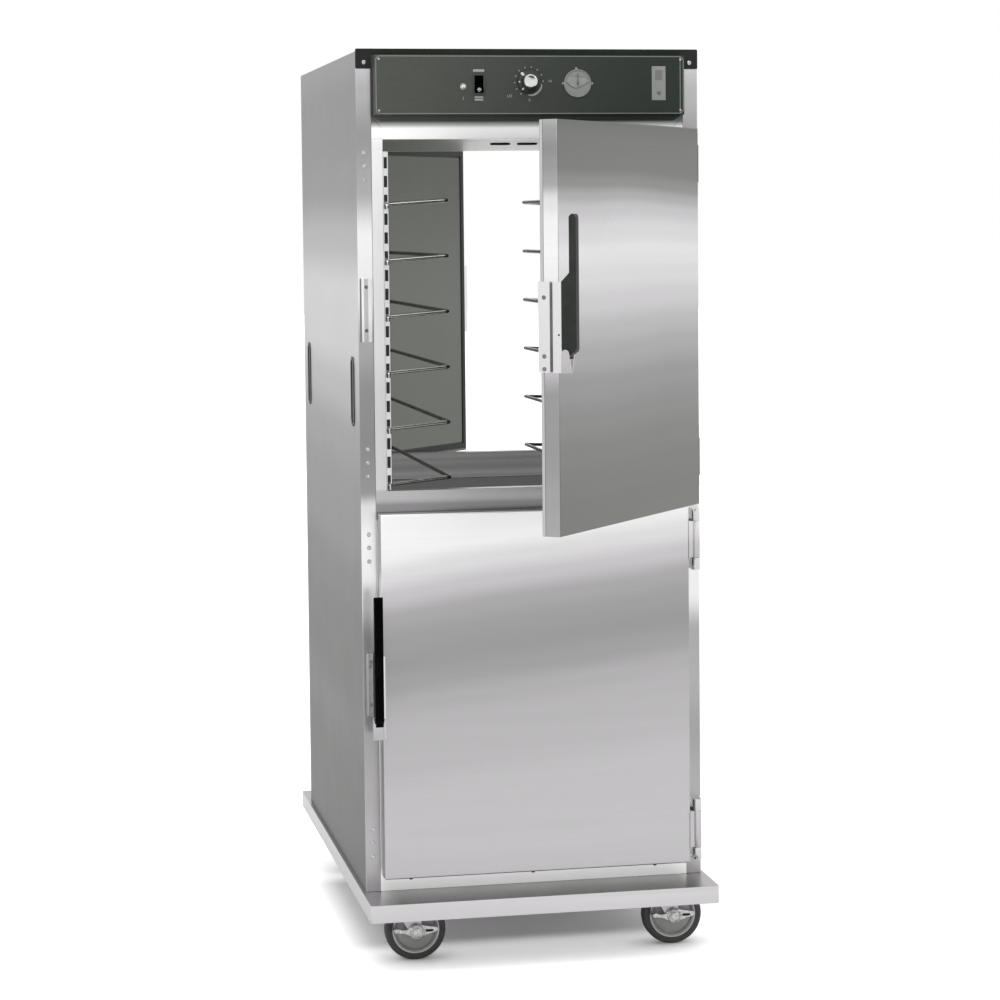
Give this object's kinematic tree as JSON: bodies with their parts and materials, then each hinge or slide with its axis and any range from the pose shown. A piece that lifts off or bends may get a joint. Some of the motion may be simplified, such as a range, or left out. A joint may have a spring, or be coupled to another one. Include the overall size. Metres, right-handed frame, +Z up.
{
  "type": "food holding cabinet",
  "caption": "Tall insulated holding cabinet on swivel casters with paired split doors at each end, lever latches, wire slides, a control housing and a ceiling blower.",
  "frame": {"origin": "on the floor under the middle of the body, which is within 13 mm of the middle of the whole object with its upper doors open", "axes": "+X to the right of a person facing the front, +Y from the front to the rear, +Z up"},
  "size_m": [0.729, 2.0587, 1.878],
  "materials": {
    "stainless": "satin",
    "liner_steel": "satin",
    "chrome": "polished",
    "housing_grey": "satin",
    "black_plastic": "satin",
    "gasket_rubber": "matte",
    "tyre_rubber": "matte",
    "wheel_plastic": "satin",
    "zinc_steel": "satin",
    "insulation": "matte",
    "lamp_plastic": "gloss",
    "galvanised": "satin"
  },
  "bodies": {
    "cabinet": {"side_panel_right": "stainless", "side_panel_left": "stainless", "top_panel": "stainless", "wall_insulation": "insulation", "inner_liner": "liner_steel", "front_frame": "stainless", "rear_frame": "stainless", "base_pan": "stainless", "hinge_brackets": "chrome", "latch_strikes": "chrome", "hand_grips": "black_plastic", "rack_uprights": "stainless", "wire_slides": "zinc_steel", "caster_plates": "zinc_steel", "control_housing": "housing_grey", "top_trim": "black_plastic", "indicator_lamp": "lamp_plastic", "thermometer_case": "chrome", "ceiling_duct": "galvanised", "heater_element": "galvanised", "blower_motor": "galvanised", "cord_gland": "black_plastic"},
    "door_upper_front": {"door_upper_front_outer_pan": "stainless", "door_upper_front_inner_pan": "liner_steel", "door_upper_front_gasket": "gasket_rubber", "door_upper_front_latch": "chrome"},
    "door_upper_front_handle": {"door_upper_front_lever": "black_plastic"},
    "door_upper_rear": {"door_upper_rear_outer_pan": "stainless", "door_upper_rear_inner_pan": "liner_steel", "door_upper_rear_gasket": "gasket_rubber", "door_upper_rear_latch": "chrome"},
    "door_upper_rear_handle": {"door_upper_rear_lever": "black_plastic"},
    "door_lower_front": {"door_lower_front_outer_pan": "stainless", "door_lower_front_inner_pan": "liner_steel", "door_lower_front_gasket": "gasket_rubber", "door_lower_front_latch": "chrome"},
    "door_lower_front_handle": {"door_lower_front_lever": "black_plastic"},
    "door_lower_rear": {"door_lower_rear_outer_pan": "stainless", "door_lower_rear_inner_pan": "liner_steel", "door_lower_rear_gasket": "gasket_rubber", "door_lower_rear_latch": "chrome"},
    "door_lower_rear_handle": {"door_lower_rear_lever": "black_plastic"},
    "caster_front_left": {"caster_front_left_fork": "zinc_steel"},
    "caster_front_left_wheel": {"caster_front_left_wheel_core": "wheel_plastic", "caster_front_left_tyre": "tyre_rubber"},
    "caster_front_left_brake": {"caster_front_left_brake_lever": "zinc_steel"},
    "caster_front_right": {"caster_front_right_fork": "zinc_steel"},
    "caster_front_right_wheel": {"caster_front_right_wheel_core": "wheel_plastic", "caster_front_right_tyre": "tyre_rubber"},
    "caster_front_right_brake": {"caster_front_right_brake_lever": "zinc_steel"},
    "caster_rear_left": {"caster_rear_left_fork": "zinc_steel"},
    "caster_rear_left_wheel": {"caster_rear_left_wheel_core": "wheel_plastic", "caster_rear_left_tyre": "tyre_rubber"},
    "caster_rear_right": {"caster_rear_right_fork": "zinc_steel"},
    "caster_rear_right_wheel": {"caster_rear_right_wheel_core": "wheel_plastic", "caster_rear_right_tyre": "tyre_rubber"},
    "rocker": {"power_rocker": "black_plastic"},
    "knob": {"thermostat_knob": "black_plastic"},
    "needle": {"thermometer_needle": "black_plastic"},
    "blower": {"blower_wheel": "galvanised"}
  },
  "joints": [
    {"name": "door_upper_front_hinge", "type": "hinge", "parent": "cabinet", "child": "door_upper_front", "pos_m": [0.3415, -0.4715, 1.333], "axis": [0, 0, 1], "range_deg": [-51, 129]},
    {"name": "door_upper_front_lever_pivot", "type": "hinge", "parent": "door_upper_front", "child": "door_upper_front_handle", "pos_m": [-0.05128, -1.02328, 1.2845], "axis": [0.6293, 0.7771, 0], "range_deg": [0, 20]},
    {"name": "door_upper_rear_hinge", "type": "hinge", "parent": "cabinet", "child": "door_upper_rear", "pos_m": [-0.3415, 0.4715, 1.333], "axis": [0, 0, 1], "range_deg": [-47.5, 132.5]},
    {"name": "door_upper_rear_lever_pivot", "type": "hinge", "parent": "door_upper_rear", "child": "door_upper_rear_handle", "pos_m": [0.08423, 0.99827, 1.2845], "axis": [-0.6756, -0.7373, 0], "range_deg": [0, 20]},
    {"name": "door_lower_front_hinge", "type": "hinge", "parent": "cabinet", "child": "door_lower_front", "pos_m": [0.3415, -0.4715, 0.569], "axis": [0, 0, 1], "range_deg": [0, 180]},
    {"name": "door_lower_front_lever_pivot", "type": "hinge", "parent": "door_lower_front", "child": "door_lower_front_handle", "pos_m": [-0.3345, -0.5135, 0.5205], "axis": [1, 0, 0], "range_deg": [0, 20]},
    {"name": "door_lower_rear_hinge", "type": "hinge", "parent": "cabinet", "child": "door_lower_rear", "pos_m": [-0.3415, 0.4715, 0.569], "axis": [0, 0, 1], "range_deg": [0, 180]},
    {"name": "door_lower_rear_lever_pivot", "type": "hinge", "parent": "door_lower_rear", "child": "door_lower_rear_handle", "pos_m": [0.3345, 0.5135, 0.5205], "axis": [-1, 0, 0], "range_deg": [0, 20]},
    {"name": "caster_front_left_swivel", "type": "hinge", "parent": "cabinet", "child": "caster_front_left", "pos_m": [-0.275, -0.3975, 0.145], "axis": [0, 0, 1], "continuous": true},
    {"name": "caster_front_left_roll", "type": "hinge", "parent": "caster_front_left", "child": "caster_front_left_wheel", "pos_m": [-0.247, -0.3975, 0.0635], "axis": [0, 1, 0], "continuous": true},
    {"name": "caster_front_left_brake_pivot", "type": "hinge", "parent": "caster_front_left", "child": "caster_front_left_brake", "pos_m": [-0.247, -0.4237, 0.0635], "axis": [0, 1, 0], "range_deg": [-22, 0]},
    {"name": "caster_front_right_swivel", "type": "hinge", "parent": "cabinet", "child": "caster_front_right", "pos_m": [0.275, -0.3975, 0.145], "axis": [0, 0, 1], "continuous": true},
    {"name": "caster_front_right_roll", "type": "hinge", "parent": "caster_front_right", "child": "caster_front_right_wheel", "pos_m": [0.303, -0.3975, 0.0635], "axis": [0, 1, 0], "continuous": true},
    {"name": "caster_front_right_brake_pivot", "type": "hinge", "parent": "caster_front_right", "child": "caster_front_right_brake", "pos_m": [0.303, -0.4237, 0.0635], "axis": [0, 1, 0], "range_deg": [-22, 0]},
    {"name": "caster_rear_left_swivel", "type": "hinge", "parent": "cabinet", "child": "caster_rear_left", "pos_m": [-0.275, 0.3975, 0.145], "axis": [0, 0, 1], "continuous": true},
    {"name": "caster_rear_left_roll", "type": "hinge", "parent": "caster_rear_left", "child": "caster_rear_left_wheel", "pos_m": [-0.247, 0.3975, 0.0635], "axis": [0, 1, 0], "continuous": true},
    {"name": "caster_rear_right_swivel", "type": "hinge", "parent": "cabinet", "child": "caster_rear_right", "pos_m": [0.275, 0.3975, 0.145], "axis": [0, 0, 1], "continuous": true},
    {"name": "caster_rear_right_roll", "type": "hinge", "parent": "caster_rear_right", "child": "caster_rear_right_wheel", "pos_m": [0.303, 0.3975, 0.0635], "axis": [0, 1, 0], "continuous": true},
    {"name": "power_rocker_pivot", "type": "hinge", "parent": "cabinet", "child": "rocker", "pos_m": [-0.1084, -0.4735, 1.8052], "axis": [1, 0, 0], "range_deg": [0, 16]},
    {"name": "thermostat_knob_turn", "type": "hinge", "parent": "cabinet", "child": "knob", "pos_m": [-0.005, -0.4775, 1.8104], "axis": [0, 1, 0], "range_deg": [-30, 270]},
    {"name": "thermometer_needle_turn", "type": "hinge", "parent": "cabinet", "child": "needle", "pos_m": [0.0958, -0.481, 1.8071], "axis": [0, 1, 0], "range_deg": [-120, 120]},
    {"name": "blower_spin", "type": "hinge", "parent": "cabinet", "child": "blower", "pos_m": [0.19, 0.04, 1.77], "axis": [0, 0, 1], "continuous": true}
  ]
}
